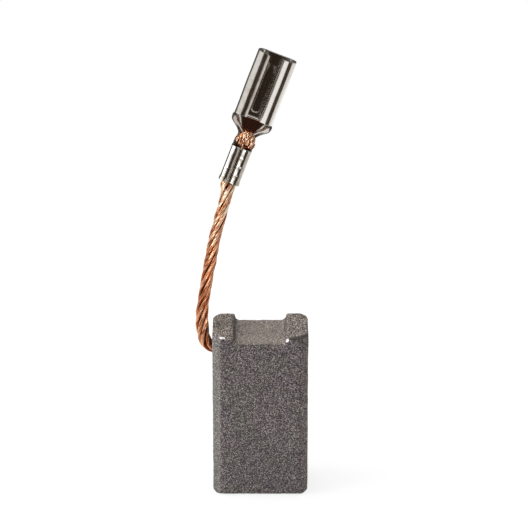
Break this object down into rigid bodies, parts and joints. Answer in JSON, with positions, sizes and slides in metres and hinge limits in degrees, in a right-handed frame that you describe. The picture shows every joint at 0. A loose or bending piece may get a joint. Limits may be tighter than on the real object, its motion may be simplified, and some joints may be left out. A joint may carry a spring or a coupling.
{
  "type": "carbon brush",
  "caption": "Chamfered carbon block with a spring channel, a short laid copper pigtail and a folded push-on receptacle.",
  "frame": {"origin": "centre of the block's contact face, the end that runs on the commutator", "axes": "+Z from the contact face towards the spring channel and the terminal; +X across the 8 mm width, with the pigtail leaving the face at -X; the spring channel runs along Y"},
  "size_m": [0.0094, 0.007, 0.0381],
  "materials": {
    "carbon": "matte",
    "copper_powder": "matte",
    "copper": "satin",
    "tinned_brass": "satin"
  },
  "bodies": {
    "root": {"carbon_block": "carbon", "tamping_plug": "copper_powder", "core_strand": "copper", "strand_1": "copper", "strand_2": "copper", "strand_3": "copper", "strand_4": "copper", "strand_5": "copper", "strand_6": "copper", "terminal": "tinned_brass"}
  },
  "joints": []
}
